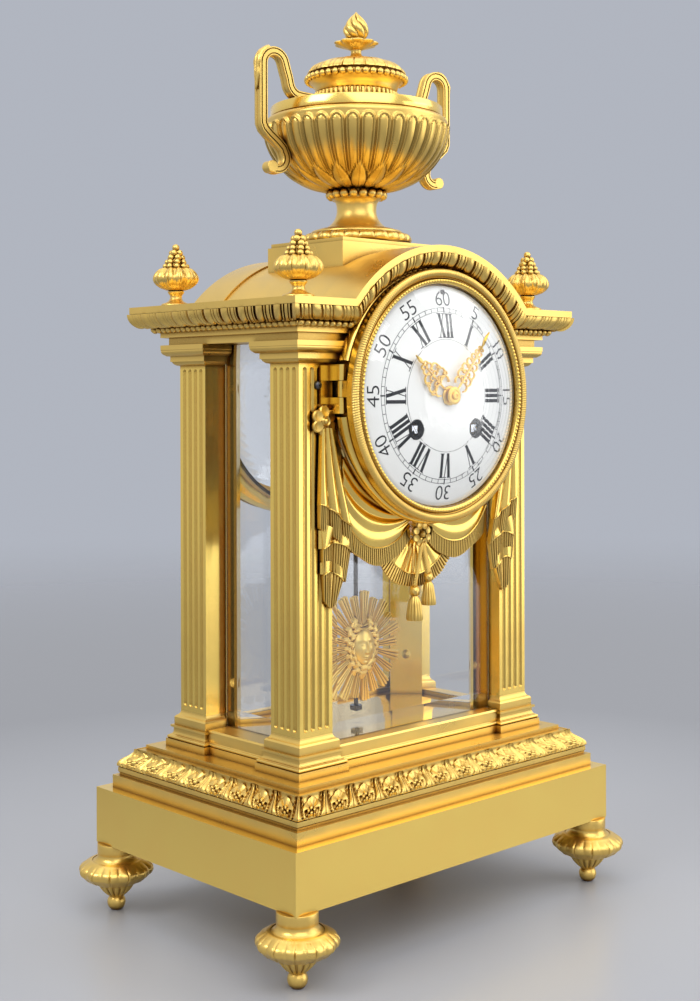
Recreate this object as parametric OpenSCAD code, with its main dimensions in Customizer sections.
// Four-glass mantel clock: gilt case on turned feet, urn on the vault, drapery, sun-mask pendulum.
// X runs along the front, Y to the back, Z up. The origin is on the floor under the centre.

/* [Base] */
// Height of a foot
foot_h = 38.4; // [34:0.2:44]
// Radius of the leaf ring of a foot
foot_ring_r = 20; // [16:0.5:22]
// Distance from the plinth's end to a foot's axis
foot_inset = 8; // [6:0.5:14]
// Width of the plinth box
plinth_w = 250; // [242:1:262]
// Depth of the plinth box
plinth_d = 172.6; // [166:0.2:184]
// Height of the plinth box
plinth_h = 31.5; // [26:0.5:40]
// Height of the plain step on the plinth
step_h = 7; // [5:0.5:10]
// Step back of the plain step
step_back = 6.6; // [5:0.2:7]
// Height of the leaf moulding
leaf_h = 17.1; // [14:0.1:22]

/* [Pilasters] */
// Width of a pilaster shaft
shaft_w = 23.2; // [20:0.2:26]
// Distance between the outer faces of the pilasters, along the front
case_w = 182; // [176:1:190]
// Distance between the outer faces of the pilasters, front to back
case_d = 102.4; // [98:0.2:110]
// Height of a pilaster base
base_h = 20; // [18:0.5:24]
// Height of a pilaster shaft
shaft_h = 196.6; // [180:0.2:220]
// Height of a capital
capital_h = 11.8; // [10:0.2:15]
// Overhang of the square block of a pilaster base
block_proud = 6.2; // [5:0.2:7]
// Flutes on each outer face
flute_count = 4; // [3:1:5]
// Distance between flutes
flute_pitch = 5; // [4:0.1:5.2]
// Width of a flute
flute_w = 3; // [2:0.1:3.4]

/* [Cornice] */
// Height of the cornice
cornice_h = 21.6; // [18:0.2:26]
// Overhang of the cornice over the pilaster faces
cornice_proud = 20.6; // [17:0.2:24]
// Width of the arched cornice, from the drum to its outer edge
arch_w = 23.6; // [21:0.2:27]
// Distance from the drum's side to the foot of the arch
arch_foot = 3.2; // [1.6:0.2:6]
// Step down from the arch to the vault
vault_drop = 1; // [0.6:0.2:2]
// Thickness of the vault
vault_t = 3; // [2:0.5:5]

/* [Glass] */
// Thickness of a flat glass
pane_t = 3; // [2:0.2:4]
// Width of the glass bevel
bevel_w = 10; // [6:0.5:12]
// Distance from the side glasses' outer faces to the pilasters' outer faces
side_glass_in = 13; // [11:0.5:14]
// Distance from the front glass's outer face to the pilasters' outer faces
front_glass_in = 7.2; // [6:0.2:9]
// Distance between a glass and what holds it
glass_gap = 0.3; // [0.2:0.1:0.6]

/* [Drum and doors] */
// Distance from the roof's edge down to the dial's centre
dial_drop = 50.7; // [49:0.1:53]
// Space between the drum and a pilaster, on each side
drum_gap = 1.8; // [1.2:0.1:3]
// Wall of the drum
drum_wall = 2.5; // [2:0.1:3.4]
// Distance from the drum's front end to the pilasters' front faces
drum_out = 12.8; // [12:0.2:15]
// Width of a bezel's rim outside the drum
bezel_over = 4; // [3:0.1:4.8]
// Width of a bezel's lip inside the drum's outer face
bezel_in = 4; // [3.6:0.1:5]
// Depth of a bezel
bezel_t = 7; // [6:0.2:9]
// Rise of the convex door glass
door_glass_rise = 14.7; // [13.6:0.1:17]
// Radius of a hinge pin
hinge_pin_r = 0.9; // [0.7:0.05:1.1]
// Radius of a hinge knuckle
knuckle_r = 2.2; // [2:0.1:2.6]
// Length of the hinge
hinge_len = 26; // [22:0.5:26]

/* [Dial] */
// Space between the dial and the bezel's opening
dial_in = 1.2; // [0.8:0.1:2.5]
// Rise of the convex dial
dial_rise = 6; // [5:0.1:6.6]
// Distance from the dial's centre to a winding hole, sideways
wind_x = 23.7; // [22:0.1:25]
// Distance from the dial's centre down to a winding hole
wind_drop = 18.3; // [16:0.1:20]
// Radius of a winding hole
wind_hole_r = 5.6; // [4.6:0.1:6.4]
// Length of the hour hand as a share of the dial's radius
hour_share = 0.62; // [0.56:0.01:0.66]
// Length of the minute hand as a share of the dial's radius
minute_share = 0.83; // [0.76:0.01:0.87]

/* [Movement] */
// Space between the movement plates' edges and the drum
plate_free = 10.5; // [8:0.5:12]
// Thickness of the movement plates
plate_t = 2.5; // [2:0.1:3]
// Distance between the movement plates
plate_gap = 29.5; // [29.5:0.1:31]
// Height of the suspension above the dial's centre
suspension_up = 44.7; // [44:0.1:46]
// Depth of the pendulum rod behind the middle of the clock
pendulum_y = 3; // [2:0.1:4.5]
// Height of the bob's centre above the floor
bob_z = 146; // [142:0.5:152]
// Radius of the bob's longest rays
ray_r = 33.7; // [30:0.1:36]
// Radius of the bell
bell_r = 36; // [32:0.5:37]

/* [Urn and finials] */
// Width of the saddle block under the urn
saddle_w = 82.6; // [76:0.2:90]
// Depth of the saddle block
saddle_d = 64; // [60:1:72]
// Height of the saddle block over the crown of the arch
saddle_up = 5.3; // [4:0.1:8]
// Greatest radius of the bowl
bowl_r = 53.7; // [50:0.1:56]
// Radius of the urn's foot
urn_foot_r = 31; // [28:0.5:31.6]
// Height of the urn's foot
urn_foot_h = 32.7; // [30:0.1:36]
// Height of the bowl with its rim
bowl_h = 47.6; // [44:0.1:52]
// Height of the lid
lid_h = 29.1; // [26:0.1:33]
// Height of the flame knob
flame_h = 28.2; // [25:0.1:32]
// Distance from the urn's axis to the upright of a handle
handle_reach = 66; // [63:0.5:70]
// Turn of the urn on its rod, to the right
urn_turn = 8; // [0:1:12]
// Height of a finial
finial_h = 36.5; // [32:0.5:40]
// Radius of a finial
finial_r = 13.2; // [11:0.1:14]

/* [Clearances] */
// Clearance of a turning fit
run_gap = 0.05; // [0.03:0.01:0.08]
// Clearance between pieces that swing past each other
swing_gap = 0.3; // [0.2:0.05:0.6]

/* [Hidden] */
$fn = 64;
gilt = "goldenrod";
polished = "gold";

// Levels from the floor up
plinth_z = foot_h;
step_z = plinth_z + plinth_h;
leaf_z = step_z + step_h;
case_z = leaf_z + leaf_h;
shaft_z = case_z + base_h;
capital_z = shaft_z + shaft_h;
cornice_z = capital_z + capital_h;
roof_z = cornice_z + cornice_h;

// Pilaster axes and inner faces
axis_x = (case_w - shaft_w) / 2;
axis_y = (case_d - shaft_w) / 2;
in_x = axis_x - shaft_w / 2;
in_y = axis_y - shaft_w / 2;
out_x = case_w / 2;
out_y = case_d / 2;

// Planes of the glasses: outer and inner faces
side_out = out_x - side_glass_in;
side_in = side_out - pane_t;
front_out = out_y - front_glass_in;
front_in = front_out - pane_t;
sill_h = 13;
floor_h = 10.8;
sill_z = case_z + sill_h;
floor_z = case_z + floor_h;

// Drum and doors
dial_z = roof_z - dial_drop;
drum_r = in_x - drum_gap;
drum_end = out_y + drum_out;
drum_bore = drum_r - drum_wall;
bezel_r = drum_r + bezel_over;
bezel_open_r = drum_r - bezel_in;
bezel_back = drum_end + swing_gap;
bezel_front = bezel_back + bezel_t;
hinge_x = -(drum_r + 2.5);
hinge_y = drum_end - 4;
leaf_t = 1.2;
hinge_low = dial_z - 9.3;
knuckle_len = (hinge_len - 2 * swing_gap) / 3;

// Arch
arch_r = drum_r + arch_w;
arch_foot_x = drum_r + arch_foot;
arch_z = roof_z - sqrt(pow(arch_r, 2) - pow(arch_foot_x, 2));
arch_in_r = arch_r - cornice_h;
arch_in_x = sqrt(pow(arch_in_r, 2) - pow(cornice_z - arch_z, 2));
vault_r = arch_r - vault_drop;
urn_z = arch_z + arch_r + saddle_up;

// Dial, from the drum's front end outwards
dial_r = bezel_open_r - dial_in;
hour_len = dial_r * hour_share;
minute_len = dial_r * minute_share;
dial_rim_t = 2.5;
dial_ball = (pow(dial_r, 2) + pow(dial_rise, 2)) / (2 * dial_rise);
dial_top = drum_end + dial_rim_t + dial_rise;
glass_seat_r = bezel_open_r + 2.5;
glass_t = 2;
glass_ball = (pow(bezel_open_r, 2) + pow(door_glass_rise, 2)) / (2 * door_glass_rise);

// Movement, depths from the middle of the clock towards the front
plate_r = drum_bore - plate_free;
front_plate_y = drum_end - 10;
back_plate_y = front_plate_y - plate_t - plate_gap;
wind_z = dial_z - wind_drop;
suspension_z = dial_z + suspension_up;
arbor_r = 1.5;
pipe_r = 2.2;
hour_pipe_r = 3.2;
winding_r = 3;

// Wheels: teeth, and modules from the distances between their arbors
great_teeth = 72;
centre_pinion_teeth = 12;
centre_teeth = 70;
third_pinion_teeth = 10;
third_teeth = 50;
escape_pinion_teeth = 10;
cannon_teeth = 14;
motion_teeth = 42;
motion_pinion_teeth = 12;
hour_teeth = 48;
pin_pinion_teeth = 14;
third_at = [16, 22.7];
escape_at = [0, 29.7];
motion_at = [0, -14];
pin_at = [-30, 11.7];
hammer_at = [-40.5, 24.7];
great_m = 2 * norm([wind_x, wind_drop]) / (great_teeth + centre_pinion_teeth);
centre_m = 2 * norm(third_at) / (centre_teeth + third_pinion_teeth);
third_m = 2 * norm(escape_at - third_at) / (third_teeth + escape_pinion_teeth);
motion_m = 2 * norm(motion_at) / (cannon_teeth + motion_teeth);
hour_m = 2 * norm(motion_at) / (motion_pinion_teeth + hour_teeth);
pin_m = 2 * norm(pin_at - [-wind_x, -wind_drop]) / (great_teeth + pin_pinion_teeth);
barrel_r = 20;
wheel_t = 1.5;

// Bell and hammer
bell_front = pendulum_y + 11;
bell_depth = 18;
bell_z = dial_z - 8;
bell_wall = 1.6;

// Points of an arc round a centre, from one angle to another
function arc(cx, cy, r, from, to, steps = 8) = [
    for (i = [0:steps]) let (a = from + (to - from) * i / steps) [cx + r * cos(a), cy + r * sin(a)]
];

// Points of a soft S between two points, level at neither end
function ogee(a, b, swell, steps = 8) = [
    for (i = [0:steps])
        let (t = i / steps)
        [a[0] + (b[0] - a[0]) * t + swell * sin(360 * t), a[1] + (b[1] - a[1]) * t]
];

// A closed outline of a strip of one width along a path
function side_of(path, i) = let (
    a = path[max(i - 1, 0)],
    b = path[min(i + 1, len(path) - 1)],
    d = (b - a) / norm(b - a)
) [-d[1], d[0]];
function strip(path, width) = concat(
    [for (i = [0:len(path) - 1]) path[i] + side_of(path, i) * width / 2],
    [for (i = [len(path) - 1:-1:0]) path[i] - side_of(path, i) * width / 2]
);

// Stands a flat outline up in a plane that faces the front, and thickens it towards the front
module facing(x, y, z) {
    translate([x, y, z]) rotate([90, 0, 0]) children();
}

// The other side of the clock, left to right or front to back
module flip_x(on) {
    mirror([on ? 1 : 0, 0, 0]) children();
}
module flip_y(on) {
    mirror([0, on ? 1 : 0, 0]) children();
}

// One mitred side of a moulding, on the +X side of a rectangle
module moulding_side(hx, hy, outline, deep) {
    reach = 40;
    low = outline[0][1] - 1;
    tall = max([for (p = outline) p[1]]) - low + 1;
    intersection() {
        translate([hx, 0, 0])
            rotate([90, 0, 0])
                linear_extrude(height = 2 * (hy + reach), center = true)
                    polygon(outline);
        translate([0, 0, low])
            linear_extrude(height = tall)
                polygon(concat(
                    [[hx - deep, hy - deep], [hx + reach, hy + reach], [hx + reach, -hy - reach]],
                    hy > deep ? [[hx - deep, deep - hy]] : []
                ));
    }
}

// A moulding round a rectangle: the outline's x is the overhang, its y the height.
// Its inner side lies the given depth inside the rectangle.
module moulding(hx, hy, outline, deep) {
    for (turn = [0, 180]) rotate([0, 0, turn]) moulding_side(hx, hy, outline, deep);
    for (turn = [90, 270]) rotate([0, 0, turn]) moulding_side(hy, hx, outline, deep);
}

// The space inside the pilasters and the glasses
module inner_space(low, tall) {
    translate([0, 0, low + tall / 2]) {
        cube([2 * in_x, 2 * front_in, tall], center = true);
        cube([2 * side_in, 2 * in_y, tall], center = true);
    }
}

// The slots that the glasses stand in, with their clearance
module pane_space(low, tall) {
    translate([0, 0, low + tall / 2]) {
        cube([2 * in_x, 2 * (front_out + glass_gap), tall], center = true);
        cube([2 * (side_out + glass_gap), 2 * in_y, tall], center = true);
    }
}

// A foot: ball, fluted cup, leaf ring, dished neck and collar
module foot(sx, sy) {
    collar_r = 10.6;
    collar_h = 6;
    ball_r = 5.2;
    ball_z = 4.3;
    flat_r = sqrt(pow(ball_r, 2) - pow(ball_z, 2));
    ring_z = 23.8;
    outline = concat(
        [[0, 0], [flat_r, 0]],
        arc(0, ball_z, ball_r, -40, 38, 8),
        [[4.4, 8], [6.6, 9.4], [8.6, 11.8], [10.2, 15.3]],
        [[13.6, 15.9], [17.2, 18.2]],
        arc(foot_ring_r - 3.2, ring_z, 3.2, -50, 62, 8),
        [[15.6, 28], [13, 28.7]],
        arc(foot_h - collar_h - 21, foot_h - collar_h, 3.7, -110, -180, 6),
        [[collar_r, foot_h - collar_h], [collar_r, foot_h], [0, foot_h]]
    );
    color(gilt)
        translate([sx * (plinth_w / 2 - foot_inset), sy * (plinth_d / 2 - foot_inset), 0])
            rotate_extrude() polygon(outline);
}
module foot_front_left() { foot(-1, -1); }
module foot_front_right() { foot(1, -1); }
module foot_rear_left() { foot(-1, 1); }
module foot_rear_right() { foot(1, 1); }

// The hollow under the base, inside walls that the feet are screwed to
module base_hollow() {
    wall = 24;
    top_t = 7;
    translate([wall - plinth_w / 2, wall - plinth_d / 2, plinth_z - 1])
        cube([plinth_w - 2 * wall, plinth_d - 2 * wall, case_z - top_t - plinth_z + 1]);
}

// The plain satin box that the feet carry
module plinth_box() {
    color(polished)
        difference() {
            translate([-plinth_w / 2, -plinth_d / 2, plinth_z]) cube([plinth_w, plinth_d, plinth_h]);
            base_hollow();
        }
}

// A plain step, a fillet over a cove, the leaf-and-dart ogee and the top fillet
module leaf_moulding() {
    hx = plinth_w / 2 - step_back;
    hy = plinth_d / 2 - step_back;
    outline = concat(
        [[-hy, step_z], [0, step_z], [0, leaf_z]],
        [[-2.8, leaf_z], [-2.8, leaf_z + 1.2], [-2.2, leaf_z + 1.8], [-2.2, leaf_z + 4.3]],
        ogee([-2.8, leaf_z + 4.3], [-9.8, case_z - 3.4], 1.1, 8),
        arc(-9.8, case_z - 3.2, 0.8, 90, 150, 2),
        [[-13.6, case_z - 2.5], [-13.6, case_z], [-hy, case_z]]
    );
    color(gilt)
        difference() {
            moulding(hx, hy, outline, hy);
            base_hollow();
        }
}

// The brass floor inside the glasses
module floor_plate() {
    color(polished) inner_space(case_z, floor_h);
}

// Outline of a pilaster base, from the block up, round a square of the shaft's width
base_outline = concat(
    [[-shaft_w / 2, 0], [block_proud, 0], [block_proud, 4.2]],
    arc(block_proud - 1.5, 5.2, 1, -60, 80, 5),
    arc(block_proud - 1.2, 8.4, 2, 255, 180, 4),
    [[3, 10.5], [4.3, 10.7], [4.3, 11.9], [2.7, 12.1], [2.7, base_h - 3.7]],
    arc(2.9, base_h, 2.9, 250, 180, 5),
    [[-shaft_w / 2, base_h]]
);

// A pilaster base before the inner space is cut away
module base_block(sx, sy) {
    translate([sx * axis_x, sy * axis_y, case_z])
        moulding(shaft_w / 2, shaft_w / 2, base_outline, shaft_w / 2);
}
module pilaster_bases() {
    color(gilt)
        for (sx = [-1, 1], sy = [-1, 1])
            difference() {
                base_block(sx, sy);
                inner_space(case_z - 1, base_h + 2);
                pane_space(sill_z, base_h);
            }
}

// The rails between the pilaster bases, which carry the glasses
module sill_rails() {
    sill_proud = 2.6;
    outline = concat(
        [[-side_glass_in - pane_t, case_z], [sill_proud, case_z], [sill_proud, case_z + 4.2]],
        arc(sill_proud - 1.2, case_z + 5.2, 1, -60, 80, 5),
        [[1.2, case_z + 6.6], [1.2, case_z + 12], [0.6, sill_z], [-side_glass_in - pane_t, sill_z]]
    );
    color(gilt)
        difference() {
            moulding(out_x, out_y, outline, side_glass_in + pane_t);
            inner_space(case_z - 1, base_h + 2);
            for (sx = [-1, 1], sy = [-1, 1]) base_block(sx, sy);
        }
}

// A round-ended flute cut into a face that looks along +X
module flute(x, y) {
    deep = 0.9;
    r = (pow(flute_w / 2, 2) + pow(deep, 2)) / (2 * deep);
    low = shaft_z + 4.5;
    high = capital_z - 3.5;
    translate([x + r - deep, y, low]) {
        cylinder(r = r, h = high - low, $fn = 20);
        sphere(r = r, $fn = 20);
        translate([0, 0, high - low]) sphere(r = r, $fn = 20);
    }
}

// A square shaft with flutes on its two outer faces
module pilaster(sx, sy) {
    first = -(flute_count - 1) / 2;
    color(gilt)
        flip_x(sx < 0) flip_y(sy < 0)
            difference() {
                translate([in_x, in_y, shaft_z]) cube([shaft_w, shaft_w, shaft_h]);
                for (i = [0:flute_count - 1]) {
                    flute(out_x, axis_y + (first + i) * flute_pitch);
                    translate([axis_x + (first + i) * flute_pitch, out_y, 0])
                        rotate([0, 0, 90])
                            flute(0, 0);
                }
            }
}
module pilaster_front_left() { pilaster(-1, -1); }
module pilaster_front_right() { pilaster(1, -1); }
module pilaster_rear_left() { pilaster(-1, 1); }
module pilaster_rear_right() { pilaster(1, 1); }

// The cylinder that the drums fill, right through the case
module drum_space() {
    facing(0, drum_end + 20, dial_z) cylinder(r = drum_r, h = 2 * drum_end + 40, $fn = 128);
}

// Neck, ovolo and fascia on each shaft
module pilaster_capitals() {
    outline = concat(
        [[-shaft_w / 2, 0], [0, 0]],
        arc(0, 2.4 + 1.2, 3.6, -80, -20, 4),
        [[4, 2.4], [4, 5.5], [5.4, 5.5]],
        arc(5.4, 8.4, 2.4, -60, 10, 4),
        [[8, 9.1], [8, capital_h], [-shaft_w / 2, capital_h]]
    );
    color(gilt)
        for (sx = [-1, 1], sy = [-1, 1])
            difference() {
                translate([sx * axis_x, sy * axis_y, capital_z])
                    moulding(shaft_w / 2, shaft_w / 2, outline, shaft_w / 2);
                pane_space(capital_z - 1, capital_h + 2);
                drum_space();
            }
}

// Brass strips across the inner corners, pressing on the glasses, with screw holes
module corner_strips() {
    strip_w = 20;
    strip_t = 1.6;
    hole_r = 2.85;
    hole_up = 25;
    tall = cornice_z - floor_z;
    color(polished)
        for (sx = [-1, 1], sy = [-1, 1])
            flip_x(sx < 0) flip_y(sy < 0)
                translate([in_x, in_y, floor_z])
                    rotate([0, 0, 45])
                        difference() {
                            translate([-strip_t, -strip_w / 2, 0]) cube([strip_t, strip_w, tall]);
                            for (z = [hole_up, tall - hole_up])
                                translate([-strip_t - 1, 0, z])
                                    rotate([0, 90, 0])
                                        cylinder(r = hole_r, h = strip_t + 2, $fn = 32);
                        }
}

// Outline of the cornice from its underside: frieze, fascia, bead, ovolo and top fillet
function cornice_outline(deep) = let (
    fillet_z = cornice_h - 3.8,
    ovolo_r = 6.8,
    bead = [cornice_proud - 10.3, fillet_z - 8.9]
) concat(
    [[-deep, 0], [cornice_proud - 16.1, 0], [cornice_proud - 16.1, fillet_z - 13.9]],
    [[cornice_proud - 12.6, fillet_z - 13.5], [cornice_proud - 12.6, bead[1] - 1.7]],
    arc(bead[0], bead[1], 1.7, -90, 80, 6),
    arc(cornice_proud - 8.1, fillet_z - 0.2, ovolo_r, -90, 0, 8),
    [[cornice_proud, fillet_z], [cornice_proud, cornice_h], [-deep, cornice_h]]
);

// The sloping joints between the straight cornice and the arch bound this space
module arch_space() {
    slope = (arch_foot_x - arch_in_x) / cornice_h;
    low = cornice_z - 1;
    high = arch_z + arch_r + 1;
    low_x = arch_in_x - slope;
    high_x = arch_in_x + slope * (high - cornice_z);
    facing(0, drum_end + 20, 0)
        linear_extrude(height = 2 * drum_end + 40)
            polygon([[-low_x, low], [low_x, low], [high_x, high], [-high_x, high]]);
}

// Left and right cornices, each with its returns to the front and back arches
module cornice_sides() {
    deep = 27;
    color(gilt)
        difference() {
            translate([0, 0, cornice_z]) moulding(out_x, out_y, cornice_outline(deep), deep);
            arch_space();
            drum_space();
        }
}

// The same moulding bent over the front and the rear drum
module cornice_arches() {
    outline = [for (p = cornice_outline(front_glass_in)) [arch_in_r + p[1], p[0]]];
    color(gilt)
        for (rear = [false, true])
            flip_y(rear)
                difference() {
                    intersection() {
                        facing(0, -out_y, arch_z) rotate_extrude($fn = 128) polygon(outline);
                        arch_space();
                    }
                    drum_space();
                }
}

// Barrel vault between the arches
module roof_vault() {
    color(gilt)
        intersection() {
            facing(0, front_out, arch_z)
                difference() {
                    cylinder(r = vault_r, h = 2 * front_out, $fn = 128);
                    translate([0, 0, -1]) cylinder(r = vault_r - vault_t, h = 2 * front_out + 2, $fn = 128);
                }
            translate([-arch_r, -out_y, roof_z]) cube([2 * arch_r, case_d, arch_r]);
        }
}

// A flat glass lying with its bevelled face up: width along X, length along Y
module pane(w, low, high, bevel_top) {
    bevel_deep = 1;
    intersection() {
        translate([0, low, 0])
            rotate([-90, 0, 0])
                linear_extrude(height = high - low)
                    polygon([
                        [-w / 2, 0], [w / 2, 0], [w / 2, bevel_deep - pane_t],
                        [w / 2 - bevel_w, -pane_t], [bevel_w - w / 2, -pane_t],
                        [-w / 2, bevel_deep - pane_t]
                    ]);
        translate([-w / 2, 0, 0])
            rotate([90, 0, 90])
                linear_extrude(height = w)
                    polygon([
                        [low, 0], [high, 0], [high, pane_t - (bevel_top ? bevel_deep : 0)],
                        [high - bevel_w, pane_t], [low + bevel_w, pane_t], [low, pane_t - bevel_deep]
                    ]);
    }
}
module side_glass(left) {
    color("lightblue", 0.4)
        flip_x(left)
            translate([side_in, 0, 0])
                rotate([90, 0, 90])
                    pane(2 * (in_y - glass_gap), sill_z, cornice_z - glass_gap, true);
}
module glass_left() { side_glass(true); }
module glass_right() { side_glass(false); }

// A front or rear glass, notched round the drum that it stands behind
module end_glass(rear) {
    notch_r = (drum_r + drum_bore) / 2;
    top_below_dial = 31.3;
    color("lightblue", 0.4)
        flip_y(rear)
            facing(0, -front_in, 0)
                difference() {
                    pane(2 * (in_x - glass_gap), sill_z, dial_z - top_below_dial, false);
                    translate([0, dial_z, -1]) cylinder(r = notch_r, h = pane_t + 2, $fn = 128);
                }
}
module glass_front() { end_glass(false); }
module glass_rear() { end_glass(true); }

// A short tube with an inner flange at its outer end
module drum(rear) {
    flange_r = drum_bore - 6.5;
    flange_t = 2.5;
    outline = [
        [drum_bore, 0], [drum_r, 0], [drum_r, drum_end - front_out],
        [flange_r, drum_end - front_out], [flange_r, drum_end - front_out - flange_t],
        [drum_bore, drum_end - front_out - flange_t]
    ];
    color(gilt)
        flip_y(rear)
            facing(0, -front_out, dial_z) rotate_extrude($fn = 128) polygon(outline);
}
module front_drum() { drum(false); }
module rear_drum() { drum(true); }

// A door ring: turned rim, beaded lip, rabbet for the glass, and its hinge knuckle
module bezel(rear) {
    lip = bezel_open_r;
    outline = concat(
        [[glass_seat_r, 0], [bezel_r - 0.8, 0], [bezel_r, 0.8], [bezel_r, bezel_t - 2]],
        arc(bezel_r - 2, bezel_t - 2, 2, 20, 100, 5),
        [[bezel_r - 4, bezel_t - 1.4], [bezel_r - 4.6, bezel_t - 1.6]],
        arc(lip + 1.7, bezel_t - 1.9, 1.6, 60, 180, 6),
        [[lip, bezel_t - 2.6], [glass_seat_r, bezel_t - 2.6]]
    );
    tab_w = 3;
    knuckle_z = hinge_low + knuckle_len + swing_gap;
    color(polished)
        flip_y(rear)
            difference() {
                union() {
                    facing(0, -bezel_back, dial_z) rotate_extrude($fn = 128) polygon(outline);
                    translate([hinge_x, -hinge_y, knuckle_z]) {
                        cylinder(r = knuckle_r, h = knuckle_len, $fn = 32);
                        translate([-tab_w / 2, hinge_y - bezel_back - 0.8, 0])
                            cube([tab_w, bezel_back - hinge_y + 0.8, knuckle_len]);
                    }
                }
                translate([hinge_x, -hinge_y, knuckle_z - 1])
                    cylinder(r = hinge_pin_r + run_gap, h = knuckle_len + 2, $fn = 32);
            }
}
module front_bezel() { bezel(false); }
module rear_bezel() { bezel(true); }

// Height of a convex sheet over its edge, at a distance from its axis
function rise(ball, edge_r, r) = sqrt(pow(ball, 2) - pow(r, 2)) - sqrt(pow(ball, 2) - pow(edge_r, 2));

// The convex glass in a door
module bezel_glass(rear) {
    seat = bezel_t - 2.6;
    steps = 14;
    outline = concat(
        [[glass_seat_r, seat], [bezel_open_r, seat]],
        [for (i = [1:steps]) let (r = bezel_open_r * (1 - i / steps))
            [r, seat + rise(glass_ball, bezel_open_r, r)]],
        [for (i = [steps:-1:0]) let (r = (bezel_open_r - 0.8) * (1 - i / steps))
            [r, seat - glass_t + rise(glass_ball, bezel_open_r, r)]],
        [[glass_seat_r, seat - glass_t]]
    );
    color("lightblue", 0.4)
        flip_y(rear)
            facing(0, -bezel_back, dial_z) rotate_extrude($fn = 128) polygon(outline);
}
module front_bezel_glass() { bezel_glass(false); }
module rear_bezel_glass() { bezel_glass(true); }

// A leaf on the pilaster's face with two knuckles and the pin riveted in them
module fixed_leaf(rear) {
    plate_w = 6;
    plate_low = hinge_low + 5;
    plate_top = hinge_low + hinge_len - 0.5;
    arm_w = 2.2;
    arm_x = hinge_x - knuckle_r;
    flip_y(rear) {
        translate([arm_x - plate_w, -out_y - leaf_t, plate_low])
            cube([plate_w + arm_w, leaf_t, plate_top - plate_low]);
        for (z = [hinge_low, hinge_low + hinge_len - knuckle_len]) {
            translate([hinge_x, -hinge_y, z]) cylinder(r = knuckle_r, h = knuckle_len, $fn = 32);
            translate([arm_x, -hinge_y, z]) cube([arm_w, hinge_y - out_y, knuckle_len]);
        }
        translate([hinge_x, -hinge_y, hinge_low]) cylinder(r = hinge_pin_r, h = hinge_len, $fn = 32);
    }
}
module hinge_leaves() {
    color(polished) {
        fixed_leaf(false);
        fixed_leaf(true);
    }
}

// The convex enamel dial with its winding holes
module dial() {
    sheet = 1.6;
    steps = 12;
    outline = concat(
        [[dial_r - sheet, 0], [dial_r, 0]],
        [for (i = [0:steps]) let (r = dial_r * (1 - i / steps))
            [r, dial_rim_t + rise(dial_ball, dial_r, r)]],
        [for (i = [steps:-1:0]) let (r = (dial_r - sheet) * (1 - i / steps))
            [r, dial_rim_t - sheet + rise(dial_ball, dial_r, r)]]
    );
    color("ivory")
        facing(0, -drum_end, dial_z)
            difference() {
                rotate_extrude($fn = 128) polygon(outline);
                cylinder(r = hour_pipe_r + swing_gap, h = 2 * dial_top, $fn = 32);
                for (side = [-1, 1])
                    translate([side * wind_x, -wind_drop, 0])
                        cylinder(r = wind_hole_r, h = 2 * dial_top, $fn = 32);
            }
}

// A thin sheet that follows the dial at a distance, for a hand to be cut from
module hand_sheet(lift, thick) {
    steps = 12;
    low = dial_rim_t + lift;
    outline = concat(
        [for (i = [0:steps]) let (r = dial_r * i / steps) [r, low + rise(dial_ball, dial_r, r)]],
        [for (i = [steps:-1:0]) let (r = dial_r * i / steps)
            [r, low + thick + rise(dial_ball, dial_r, r)]]
    );
    facing(0, -drum_end, dial_z) rotate_extrude() polygon(outline);
}
hand_t = 0.8;
hour_lift = 1.2;
minute_lift = 2.8;

// Outline of a pierced hand: ring, stem, two pierced scrolls and a leaf-shaped point
module hand_shape(length, hub_r, scroll_at, scroll_r) {
    difference() {
        union() {
            circle(r = hub_r, $fn = 32);
            translate([-0.9, 0]) square([1.8, length * 0.8]);
            for (side = [-1, 1])
                translate([side * scroll_r * 0.8, scroll_at]) circle(r = scroll_r, $fn = 32);
            translate([0, scroll_at + scroll_r * 1.5]) circle(r = scroll_r * 0.9, $fn = 32);
            polygon([
                [-1.6, scroll_at + scroll_r * 2.2], [-2.1, scroll_at + scroll_r * 3],
                [0, length], [2.1, scroll_at + scroll_r * 3], [1.6, scroll_at + scroll_r * 2.2]
            ]);
        }
        for (side = [-1, 1])
            translate([side * scroll_r * 0.9, scroll_at]) circle(r = scroll_r * 0.5, $fn = 24);
        translate([0, scroll_at + scroll_r * 1.6]) circle(r = scroll_r * 0.4, $fn = 24);
    }
}
module hand(length, hub_r, bore_r, scroll_at, scroll_r, turn, lift) {
    intersection() {
        hand_sheet(lift, hand_t);
        facing(0, -drum_end, dial_z)
            rotate([0, 0, -turn])
                linear_extrude(height = 3 * dial_rise)
                    difference() {
                        hand_shape(length, hub_r, scroll_at, scroll_r);
                        circle(r = bore_r, $fn = 32);
                    }
    }
}
module hour_hand() {
    color(polished) hand(hour_len, 5.2, hour_pipe_r, 14, 3.6, -51, hour_lift);
}
module minute_hand() {
    nut_r = 3;
    nut_t = 2.1;
    color(polished) {
        hand(minute_len, 4.4, pipe_r, 20, 3.4, 40, minute_lift);
        facing(0, -dial_top - minute_lift - hand_t, dial_z) cylinder(r = nut_r, h = nut_t, $fn = 32);
    }
}

// A place in the movement: sideways and up from the dial's centre, at a depth towards the front
module in_train(at, depth) {
    facing(at[0], -depth, dial_z + at[1]) children();
}

// Outline of a wheel with slim tapered teeth
function gear(teeth, m) = let (r = teeth * m / 2, pitch = 360 / teeth) [
    for (i = [0:teeth - 1], c = [[-0.23, -0.9], [-0.1, 0.62], [0.1, 0.62], [0.23, -0.9]])
        (r + c[1] * m) * [cos((i + c[0]) * pitch), sin((i + c[0]) * pitch)]
];
module wheel(teeth, m, thick, turn = 0) {
    rotate([0, 0, turn]) linear_extrude(height = thick) polygon(gear(teeth, m));
}

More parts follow.
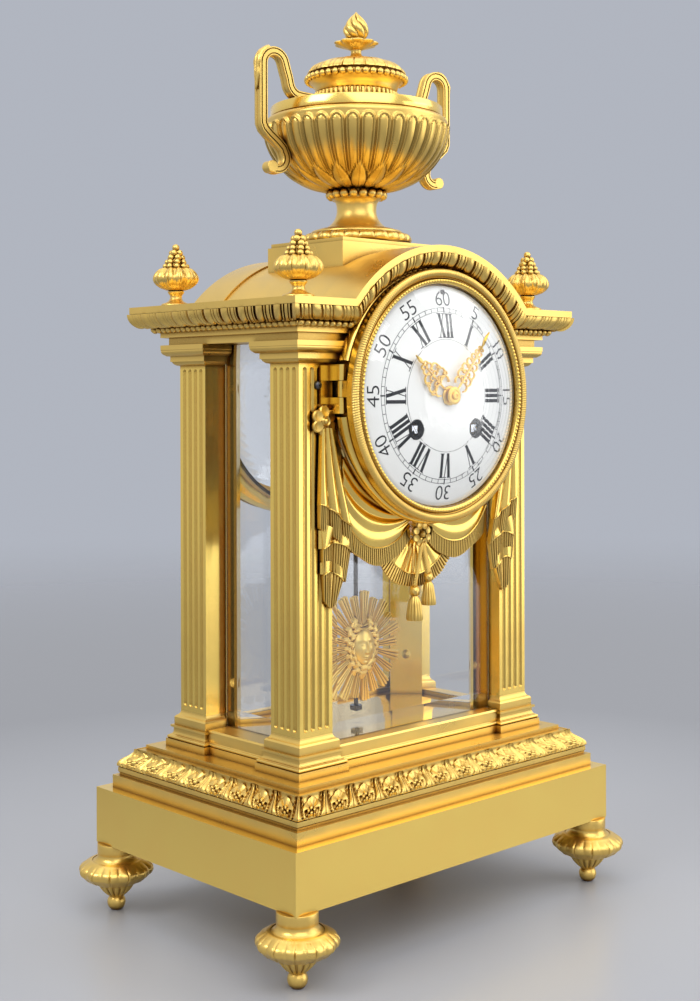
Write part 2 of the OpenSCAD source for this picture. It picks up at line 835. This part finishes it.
// Direction from one arbor to another, in degrees
function towards(a, b) = atan2(b[1] - a[1], b[0] - a[0]);

// Turns of two meshed wheels that set a tooth of the first in a gap of the second
function gap_turn(a, b, teeth) = towards(b, a) + 180 / teeth;

plate_in = front_plate_y - plate_t;
back_out = back_plate_y - plate_t;
pivot_r = 0.7;
barrel_low = back_plate_y + 6.5;
barrel_top = plate_in - 3.5;
pillar_in = 3.5;
pillar_at = [for (turn = [-90, 8, 172, 52, 128]) (plate_r - pillar_in) * [cos(turn), sin(turn)]];
suspension_at = [0, suspension_up];
going_at = [wind_x, -wind_drop];
strike_at = [-wind_x, -wind_drop];

// Bearing holes of a plate: wide ones for the winding arbors, pivots for the rest
module bearings(depth, wide, narrow) {
    for (at = [going_at, strike_at])
        in_train(at, depth - 1) cylinder(r = winding_r + run_gap, h = plate_t + 2, $fn = 32);
    for (at = wide)
        in_train(at, depth - 1) cylinder(r = arbor_r + run_gap, h = plate_t + 2, $fn = 32);
    for (at = narrow)
        in_train(at, depth - 1) cylinder(r = pivot_r + run_gap, h = plate_t + 2, $fn = 24);
}

// Front plate with its five pillars and the stud of the motion wheel
module movement_front_plate() {
    color(polished) {
        difference() {
            union() {
                in_train([0, 0], plate_in) cylinder(r = plate_r, h = plate_t, $fn = 96);
                for (at = pillar_at)
                    in_train(at, back_plate_y) cylinder(r = 2.5, h = plate_gap + 0.5, $fn = 24);
                in_train(motion_at, plate_in + 1) cylinder(r = 1, h = plate_t + 4, $fn = 24);
            }
            bearings(plate_in, [[0, 0]], [third_at, escape_at, suspension_at, pin_at, hammer_at]);
        }
    }
}

// Back plate with the suspension cock and its pin
module movement_back_plate() {
    arm_w = 8;
    arm_up = 5;
    arm_t = 4;
    leg_y = pendulum_y - 6;
    pin_end = pendulum_y + 2.6;
    color(polished)
        difference() {
            union() {
                in_train([0, 0], back_out) cylinder(r = plate_r, h = plate_t, $fn = 96);
                translate([-arm_w / 2, -back_out - 1, suspension_z + arm_up])
                    cube([arm_w, back_out + 1 + pendulum_y, arm_t]);
                translate([-arm_w / 2, leg_y, suspension_z - 3]) cube([arm_w, 2, arm_up + 4]);
                facing(0, pin_end, suspension_z) cylinder(r = 1.2, h = pin_end - leg_y - 1, $fn = 32);
            }
            bearings(back_out, [suspension_at, hammer_at], [[0, 0], third_at, escape_at, pin_at]);
        }
}

// Three straps that hold the movement in the drum
module movement_brackets() {
    strap_w = 12;
    strap_t = 2.5;
    overlap = 4;
    color(polished)
        intersection() {
            in_train([0, 0], front_plate_y) cylinder(r = drum_bore, h = strap_t, $fn = 128);
            in_train([0, 0], front_plate_y)
                for (turn = [90, 210, 330])
                    rotate([0, 0, turn])
                        translate([plate_r - overlap, -strap_w / 2, 0])
                            cube([drum_r - plate_r + overlap, strap_w, strap_t]);
        }
}

// A spring barrel with its great wheel at one end, turning on its winding arbor
module barrel(at, low, top, wheel_low, turn) {
    color(polished)
        difference() {
            union() {
                in_train(at, low) cylinder(r = barrel_r, h = top - low, $fn = 64);
                in_train(at, wheel_low) wheel(great_teeth, great_m, wheel_t, turn);
            }
            in_train(at, low - 5) cylinder(r = winding_r + run_gap, h = top - low + 10, $fn = 32);
        }
}
module going_barrel() {
    barrel(going_at, barrel_low - 0.1, barrel_top - 0.5, barrel_low - wheel_t, towards(going_at, [0, 0]));
}
module strike_barrel() {
    barrel(strike_at, barrel_low, barrel_top, barrel_top, towards(strike_at, pin_at));
}

// A winding arbor with its ratchet and its square, which ends inside the dial's hole
module winding_arbor(at) {
    square_w = 4.2;
    ratchet_low = front_plate_y + swing_gap;
    color("silver") {
        in_train(at, back_out) cylinder(r = winding_r, h = ratchet_low + 1 - back_out, $fn = 32);
        in_train(at, ratchet_low) linear_extrude(height = 1.6) polygon(gear(16, 0.9));
        in_train(at, ratchet_low)
            translate([-square_w / 2, -square_w / 2, 0])
                cube([square_w, square_w, dial_top - 3 - ratchet_low]);
    }
}
module going_arbor() { winding_arbor(going_at); }
module strike_arbor() { winding_arbor(strike_at); }

// An arbor between the plates with a pivot at each end
module arbor(at) {
    in_train(at, back_plate_y + swing_gap)
        cylinder(r = arbor_r, h = plate_gap - 2 * swing_gap, $fn = 32);
    in_train(at, back_out) cylinder(r = pivot_r, h = plate_gap + 2 * plate_t, $fn = 24);
}

// Going train, from the centre wheel to the escape wheel
centre_low = back_plate_y + 2.4;
third_low = back_plate_y + 12.8;
escape_low = back_plate_y + 7.8;
cannon_low = front_plate_y + 0.4;
hour_low = front_plate_y + 3.2;
module centre_wheel() {
    cannon_end = dial_top + minute_lift + hand_t;
    color(polished) {
        in_train([0, 0], back_plate_y + swing_gap)
            cylinder(r = arbor_r, h = cannon_low + 1 - back_plate_y - swing_gap, $fn = 32);
        in_train([0, 0], back_out) cylinder(r = pivot_r, h = plate_t + 1, $fn = 24);
        in_train([0, 0], centre_low) wheel(centre_teeth, centre_m, wheel_t - 0.3, towards([0, 0], third_at));
        in_train([0, 0], barrel_low - 2)
            wheel(centre_pinion_teeth, great_m, 3, gap_turn(going_at, [0, 0], centre_pinion_teeth));
        in_train([0, 0], cannon_low) wheel(cannon_teeth, motion_m, 2.4, towards([0, 0], motion_at));
        in_train([0, 0], cannon_low) cylinder(r = pipe_r, h = cannon_end - cannon_low, $fn = 32);
    }
}
module third_wheel() {
    color(polished) {
        arbor(third_at);
        in_train(third_at, centre_low - 0.4)
            wheel(third_pinion_teeth, centre_m, 2.2, gap_turn([0, 0], third_at, third_pinion_teeth));
        in_train(third_at, third_low)
            wheel(third_teeth, third_m, wheel_t - 0.3, towards(third_at, escape_at));
    }
}
module escape_wheel() {
    tip_r = 9.5;
    teeth = 30;
    color(polished) {
        arbor(escape_at);
        in_train(escape_at, third_low - 0.4)
            wheel(escape_pinion_teeth, third_m, 2, gap_turn(third_at, escape_at, escape_pinion_teeth));
        in_train(escape_at, escape_low)
            linear_extrude(height = 1.2)
                polygon([
                    for (i = [0:teeth - 1], c = [[0, tip_r], [0.25, tip_r - 1.5], [0.8, tip_r - 1.5]])
                        let (a = (i + c[0]) * 360 / teeth)
                        c[1] * [cos(a), sin(a)]
                ]);
    }
}

// Motion work: the wheel and pinion on the stud, and the hour wheel with its pipe
module motion_wheel() {
    color(polished)
        difference() {
            union() {
                in_train(motion_at, cannon_low + 0.8)
                    wheel(motion_teeth, motion_m, 1, gap_turn([0, 0], motion_at, motion_teeth));
                in_train(motion_at, cannon_low + 1.5)
                    wheel(motion_pinion_teeth, hour_m, 2.7, towards(motion_at, [0, 0]));
            }
            in_train(motion_at, cannon_low) cylinder(r = 1 + run_gap, h = 6, $fn = 24);
        }
}
module hour_wheel() {
    pipe_end = dial_top + hour_lift + hand_t;
    color(polished)
        difference() {
            union() {
                in_train([0, 0], hour_low)
                    wheel(hour_teeth, hour_m, 1.2, gap_turn(motion_at, [0, 0], hour_teeth));
                in_train([0, 0], hour_low) cylinder(r = hour_pipe_r, h = pipe_end - hour_low, $fn = 32);
            }
            in_train([0, 0], hour_low - 1)
                cylinder(r = pipe_r + run_gap, h = pipe_end - hour_low + 2, $fn = 32);
        }
}

// Anchor, arbor and crutch, whose fork embraces the pendulum rod
rod_r = 1.3;
module pallets() {
    arm = [[0, 0], [7, -1.5], [11, -6], [11.4, -11.5]];
    crutch_d = back_out - 3;
    fork_z = suspension_z - 33;
    fork_w = 2 * (rod_r + swing_gap + 1.2);
    block_end = -pendulum_y + rod_r + 2;
    color("dimgray") {
        arbor(suspension_at);
        in_train(suspension_at, crutch_d) cylinder(r = arbor_r, h = 5.6, $fn = 32);
        in_train(suspension_at, escape_low) linear_extrude(height = 1.2) {
            circle(r = 3, $fn = 32);
            polygon(strip(arm, 2));
            mirror([1, 0]) polygon(strip(arm, 2));
        }
        translate([-1.5, -crutch_d - 2, fork_z]) cube([3, 2, suspension_z - fork_z]);
        translate([-fork_w / 2, -crutch_d - 2, fork_z - 3])
            cube([fork_w, crutch_d + 2 - block_end, 3]);
        for (side = [0, 1])
            flip_x(side == 1)
                translate([rod_r + swing_gap, -block_end - 0.5, fork_z - 3])
                    cube([1.2, block_end + pendulum_y + 3, 3]);
    }
}

// Steel rod with an eye on the suspension pin and the rating nut under the bob
module pendulum_rod() {
    eye_r = 3.4;
    eye_t = 3;
    rod_end = bob_z - ray_r - 4.6;
    color("dimgray")
        difference() {
            union() {
                facing(0, pendulum_y + eye_t / 2, suspension_z) cylinder(r = eye_r, h = eye_t, $fn = 32);
                translate([0, pendulum_y, rod_end])
                    cylinder(r = rod_r, h = suspension_z - rod_end - 2, $fn = 32);
                translate([0, pendulum_y, rod_end + 0.8]) cylinder(r = 3.6, h = 2.6, $fn = 24);
            }
            facing(0, pendulum_y + eye_t, suspension_z)
                cylinder(r = 1.2 + run_gap, h = 2 * eye_t, $fn = 32);
        }
}

// Sun-mask bob: a ring of rays, a round domed face and the sleeve on the rod
module pendulum_bob() {
    rays = 24;
    squeeze = 2.1;
    face_r = 17;
    back = pendulum_y - rod_r;
    color(gilt)
        difference() {
            union() {
                facing(0, back, bob_z)
                    linear_extrude(height = 2.2)
                        polygon([
                            for (i = [0:2 * rays - 1])
                                let (a = i * 180 / rays)
                                let (tip = ray_r - squeeze + squeeze * cos(2 * a + 180))
                                (i % 2 == 0 ? tip : 0.74 * tip) * [cos(a), sin(a)]
                        ]);
                facing(0, back, bob_z)
                    rotate_extrude()
                        polygon(concat(
                            [[0, 0], [face_r + 1.5, 0], [face_r + 1.5, 3], [face_r, 3.2]],
                            [for (i = [0:8]) let (a = i * 90 / 8) [face_r * cos(a), 3.2 + 2.5 * sin(a)]]
                        ));
                translate([0, pendulum_y, bob_z - 12]) cylinder(r = 2.8, h = 24, $fn = 32);
            }
            translate([0, pendulum_y, bob_z - 40]) cylinder(r = rod_r, h = 80, $fn = 32);
        }
}

// Pin wheel of the striking train, whose pins would lift the hammer's tail
module pin_wheel() {
    wheel_r = 9.8;
    pin_ring_r = 8;
    pin_low = back_plate_y + 13.8;
    color(polished) {
        arbor(pin_at);
        in_train(pin_at, barrel_top - 0.2)
            wheel(pin_pinion_teeth, pin_m, 2, gap_turn(strike_at, pin_at, pin_pinion_teeth));
        in_train(pin_at, pin_low + 3) cylinder(r = wheel_r, h = 1.2, $fn = 48);
        for (turn = [0:45:315])
            in_train(pin_at, pin_low)
                rotate([0, 0, turn]) translate([pin_ring_r, 0, 0]) cylinder(r = 0.6, h = 3.5, $fn = 16);
    }
}

// Hammer: arbor, tail between the plates, arm and head beside the bell
module hammer() {
    head_r = 4;
    head_gap = 0.5;
    arm_back = bell_front + 2.5;
    head_z = bell_z + 2.7;
    head_x = -(bell_r + head_r + head_gap);
    tail = 7.5;
    color("dimgray") {
        arbor(hammer_at);
        facing(hammer_at[0], arm_back, dial_z + hammer_at[1])
            cylinder(r = arbor_r, h = arm_back + back_plate_y + 1, $fn = 32);
        in_train(hammer_at, back_plate_y + 14)
            rotate([0, 0, towards(hammer_at, pin_at)]) translate([0, -1, 0]) cube([tail, 2, 2]);
        translate([head_x - 1.2, arm_back - 2, head_z]) cube([2.4, 2, dial_z + hammer_at[1] - head_z]);
        facing(head_x, arm_back + 1.5, head_z) cylinder(r = head_r, h = 5, $fn = 32);
    }
}

// Bell on a bent stand that reaches round the pendulum rod
module bell() {
    stand_at = [16, -31.3];
    stand_r = 2;
    crown = bell_front + bell_depth;
    arm = [[0, bell_z - dial_z], stand_at];
    outer = [
        for (i = [0:10]) let (a = i * 9) [bell_r * sin(a), bell_depth * (1 - cos(a))]
    ];
    inner = [
        for (i = [10:-1:0]) let (a = i * 9)
            [(bell_r - bell_wall) * sin(a), bell_wall + (bell_depth - bell_wall) * (1 - cos(a))]
    ];
    color("silver")
        facing(0, crown, bell_z)
            difference() {
                rotate_extrude($fn = 96) polygon(concat(outer, inner));
                translate([0, 0, -1]) cylinder(r = stand_r, h = 6, $fn = 24);
            }
    color("dimgray") {
        facing(0, crown, bell_z) cylinder(r = stand_r, h = bell_depth + 2, $fn = 24);
        facing(0, bell_front, dial_z) linear_extrude(height = 2) polygon(strip(arm, 5));
        facing(stand_at[0], bell_front, dial_z + stand_at[1])
            cylinder(r = stand_r, h = bell_front + back_out, $fn = 24);
    }
}

// Berry finials on the corners of the cornice
module finials() {
    corner_inset = 19;
    fx = out_x + cornice_proud - corner_inset;
    fy = out_y + cornice_proud - corner_inset;
    top = finial_h;
    outline = concat(
        [[0, 0], [8.4, 0], [8.4, 2], [7, 2.6], [7, 4.2], [5.4, 5], [3.4, 6.2], [3.4, 8], [5.4, 8.6], [5.4, 9.8]],
        arc(finial_r - 5.6, 15.4, 5.6, -60, 40, 8),
        [[10.6, 20.6], [10.9, 21.8], [9.6, 23.4], [9.9, 24.6], [8, 26.6], [8.2, 27.8]],
        [[6, 29.6], [4, top - 5.6], [2.6, top - 5]],
        arc(0, top - 2.8, 2.8, -40, 90, 6)
    );
    color(gilt)
        for (sx = [-1, 1], sy = [-1, 1])
            translate([sx * fx, sy * fy, roof_z]) rotate_extrude() polygon(outline);
}

// Saddle block that sits on the vault
module urn_saddle() {
    lip_h = 2.4;
    lip_in = 1.4;
    foot_z = arch_z + sqrt(pow(vault_r, 2) - pow(saddle_w / 2, 2)) - 1;
    color(gilt)
        difference() {
            union() {
                translate([-saddle_w / 2, -saddle_d / 2, foot_z])
                    cube([saddle_w, saddle_d, urn_z - lip_h - foot_z]);
                translate([lip_in - saddle_w / 2, lip_in - saddle_d / 2, foot_z])
                    cube([saddle_w - 2 * lip_in, saddle_d - 2 * lip_in, urn_z - foot_z]);
            }
            facing(0, saddle_d, arch_z) cylinder(r = vault_r, h = 2 * saddle_d, $fn = 128);
        }
}

// Foot of the urn: disc with a leaf edge, waist and bead ring
module urn_foot() {
    top = urn_foot_h;
    outline = concat(
        [[0, 0], [urn_foot_r - 0.8, 0], [urn_foot_r, 1], [urn_foot_r, 3]],
        arc(urn_foot_r - 5, 3.4, 4.6, 10, 80, 5),
        [[25.4, 8.8], [22.4, 9.2]],
        arc(23, 20.4, 11.4, 255, 184, 7),
        [[12.4, top - 8], [15.4, top - 5.6]],
        arc(16.6, top - 3.4, 1.8, -70, 70, 5),
        [[14.4, top - 1], [13.6, top], [0, top]]
    );
    color(gilt) translate([0, 0, urn_z]) rotate_extrude($fn = 96) polygon(outline);
}

// Outline of the bowl's belly, from its foot to the neck under the rim
rim_h = 6.6;
rim_r = bowl_r - 3.1;
belly = [
    for (i = [0:14])
        let (t = i / 14)
        [14.5 + (bowl_r - 14.5) * sin(90 * pow(t, 0.92)),
            0.6 + (bowl_h - rim_h - 4.2) * pow(1 - cos(90 * t), 0.9)]
];
module bowl_solid() {
    outline = concat(
        [[0, 0], [13.6, 0]],
        belly,
        arc(bowl_r - 3, bowl_h - rim_h - 3.2, 3, 10, 70, 4),
        [[rim_r - 1.6, bowl_h - rim_h - 0.3], [rim_r, bowl_h - rim_h], [rim_r, bowl_h - 0.6]],
        [[rim_r - 0.8, bowl_h], [0, bowl_h]]
    );
    translate([0, 0, urn_z + urn_foot_h]) rotate_extrude($fn = 96) polygon(outline);
}
module urn_bowl() {
    color(gilt) bowl_solid();
}
module urn_lid() {
    ring_z = 16.7;
    ring_r = 28.6;
    outline = concat(
        [[0, 0], [28.5, 0], [28.5, 0.8], [26, 1.6], [24.7, 3], [24.7, 10]],
        arc(32.2, 10.4, 6.6, 172, 118, 5),
        arc(ring_r, ring_z, 2.1, -80, 90, 5),
        [[27.2, ring_z + 2.6]],
        [for (i = [1:8]) let (a = i * 90 / 8)
            [27.2 * cos(a), ring_z + 2.6 + (lid_h - ring_z - 2.6) * sin(a)]]
    );
    color(gilt) translate([0, 0, urn_z + urn_foot_h + bowl_h]) rotate_extrude($fn = 96) polygon(outline);
}

// Knob of the lid: stem, scalloped saucer and a twisted flame
module urn_flame() {
    outline = concat(
        [[0, 0], [5.6, 0], [5, 1.2], [3.2, 2.6], [3, 5.4], [6, 6.6], [12, 8.4], [12.6, 9.4], [11, 10], [5, 10.4]],
        [[4.6, 11.4]],
        [for (i = [0:10]) let (t = i / 10)
            [7.2 * pow(sin(180 * pow(0.16 + 0.84 * t, 0.8)), 1.1), 11.8 + (flame_h - 11.8) * t]]
    );
    color(gilt)
        translate([0, 0, urn_z + urn_foot_h + bowl_h + lid_h]) rotate_extrude($fn = 48) polygon(outline);
}

// Swan-neck handles: flat bars bent in an upright plane, from the bowl's top round to its belly
module urn_handles() {
    bar_w = 6.5;
    bar_t = 5;
    top_z = urn_z + urn_foot_h + bowl_h;
    path = concat(
        [[handle_reach - 35.5, top_z + 2.4], [handle_reach - 26, top_z + 2.6]],
        arc(handle_reach - 25.4, top_z + 10.2, 7.6, 285, 350, 4),
        [[handle_reach - 15.9, top_z + 16]],
        arc(handle_reach - 7.4, top_z + 18.6, 7.4, 165, 0, 8),
        [[handle_reach, top_z - 15.6], [handle_reach - 1, top_z - 17.4]],
        arc(handle_reach - 9, top_z - 34.3, 6.8, 150, 290, 7)
    );
    color(gilt)
        difference() {
            rotate([0, 0, -urn_turn])
                for (side = [0, 1])
                    flip_x(side == 1)
                        facing(0, bar_w / 2, 0)
                            linear_extrude(height = bar_w) polygon(strip(path, bar_t));
            bowl_solid();
        }
}

// Cloth with folds that run down: a wavy section, cut to an outline seen from the front
module pleats(outline, x_from, x_to, back, deep, fold) {
    low = min([for (p = outline) p[1]]) - 1;
    high = max([for (p = outline) p[1]]) + 1;
    count = ceil((x_to - x_from) / fold * 6);
    intersection() {
        translate([0, 0, low])
            linear_extrude(height = high - low)
                polygon(concat(
                    [[x_to, -back], [x_from, -back]],
                    [for (i = [0:count])
                        let (x = x_from + (x_to - x_from) * i / count)
                        [x, -back - deep * (0.7 + 0.3 * sin(360 * (x - x_from) / fold))]]
                ));
        facing(0, 0, 0) linear_extrude(height = back + 2 * deep) polygon(outline);
    }
}

// A cascade of cloth down a pilaster from its rosette
module cascade(right, rosette_up, drop) {
    rosette_x = axis_x + 0.8;
    rosette_r = 8;
    rosette_z = dial_z - rosette_up;
    top = rosette_z - 4;
    cloth = 4.6;
    inner_edge = [
        [7.4, -31.3], [16.4, -53.3], [19.4, -65.3], [21.9, -83.3], [16.4, -90.3], [16.9, -99.3],
        [11.4, -103.3]
    ];
    outer_edge = [[9.4, -112.3], [5.9, -105.3], [3.4, -97.3], [0.4, -88.3], [-3, -79.3], [-4, -53.3]];
    outline = concat(
        [[-rosette_x - 4, top], [-rosette_x + 4, top]],
        [for (p = inner_edge) [p[0] - axis_x, p[1] + dial_z - drop]],
        [for (p = outer_edge) [p[0] - axis_x, p[1] + dial_z]]
    );
    color(gilt)
        flip_x(right) {
            pleats(outline, -axis_x - 6.6, -axis_x + 23.4, out_y, cloth, 5);
            facing(-rosette_x, -out_y, rosette_z)
                rotate_extrude()
                    polygon([[0, 0], [rosette_r, 0], [rosette_r, 3], [6.4, 4.8], [4, 4], [3.2, 5.6], [0, 6.2]]);
        }
}
module drapery_left() { cascade(false, 13.6, 0); }
module drapery_right() { cascade(true, -2.7, 5); }

// Two swags under the drum, the bow between them and the two tassels
module festoon() {
    back = out_y - 4;
    bow_z = dial_z - drum_r - 11.3;
    end_x = drum_r;
    steps = 14;
    upper = [
        for (i = [0:steps])
            let (t = i / steps)
            [-end_x + (end_x - 4) * t, bow_z + 30 - 68 * t + 45 * pow(t, 2) - 4 * sin(180 * t)]
    ];
    lower = [
        for (i = [steps:-1:0])
            let (t = i / steps)
            [-end_x + (end_x - 3) * t, bow_z + 10 - 92 * t + 76 * pow(t, 2) - 8 * sin(180 * t)]
    ];
    color(gilt) {
        for (side = [0, 1])
            flip_x(side == 1) {
                facing(0, -back, 0) linear_extrude(height = out_y - back) polygon(concat(upper, lower));
                for (k = [0:2])
                    facing(0, -back - 1, 0)
                        linear_extrude(height = out_y - back + 1.4 - 1)
                            polygon(strip([
                                for (i = [2:steps - 1])
                                    upper[i] * (0.8 - 0.3 * k) + lower[steps - i] * (0.2 + 0.3 * k)
                            ], 2.6));
            }
        facing(0, -back, bow_z) rotate_extrude()
            polygon([[0, 0], [7.5, 0], [7.5, 3], [6, 5.4], [3.4, 4.6], [2.6, 6.6], [0, 7]]);
        facing(0, -back, bow_z) linear_extrude(height = 3.4) polygon([
            [-5, 0], [-8, -12], [-11, -22], [-6, -31], [-2, -24], [0, -30], [4, -21], [8, -16], [5, 0]
        ]);
        for (at = [[-6, 45], [7.4, 40.5]])
            translate([at[0], -back - 4.6, bow_z - at[1]])
                rotate_extrude($fn = 32)
                    polygon([
                        [0, 0], [3.4, 0.4], [3, 6], [2.2, 10.6], [3, 12], [2.6, 14], [1, 15.4],
                        [0.9, at[1] - 6], [0, at[1] - 6]
                    ]);
    }
}

foot_front_left();
foot_front_right();
foot_rear_left();
foot_rear_right();
plinth_box();
leaf_moulding();
floor_plate();
sill_rails();
pilaster_front_left();
pilaster_front_right();
pilaster_rear_left();
pilaster_rear_right();
pilaster_bases();
pilaster_capitals();
corner_strips();
cornice_sides();
cornice_arches();
roof_vault();
glass_left();
glass_right();
glass_front();
glass_rear();
front_drum();
rear_drum();
front_bezel();
front_bezel_glass();
rear_bezel();
rear_bezel_glass();
hinge_leaves();
dial();
hour_hand();
minute_hand();
finials();
urn_saddle();
urn_foot();
urn_bowl();
urn_lid();
urn_flame();
urn_handles();
festoon();
drapery_left();
drapery_right();
movement_front_plate();
movement_back_plate();
movement_brackets();
going_barrel();
going_arbor();
strike_barrel();
strike_arbor();
centre_wheel();
third_wheel();
escape_wheel();
motion_wheel();
hour_wheel();
pallets();
pendulum_rod();
pendulum_bob();
pin_wheel();
hammer();
bell();
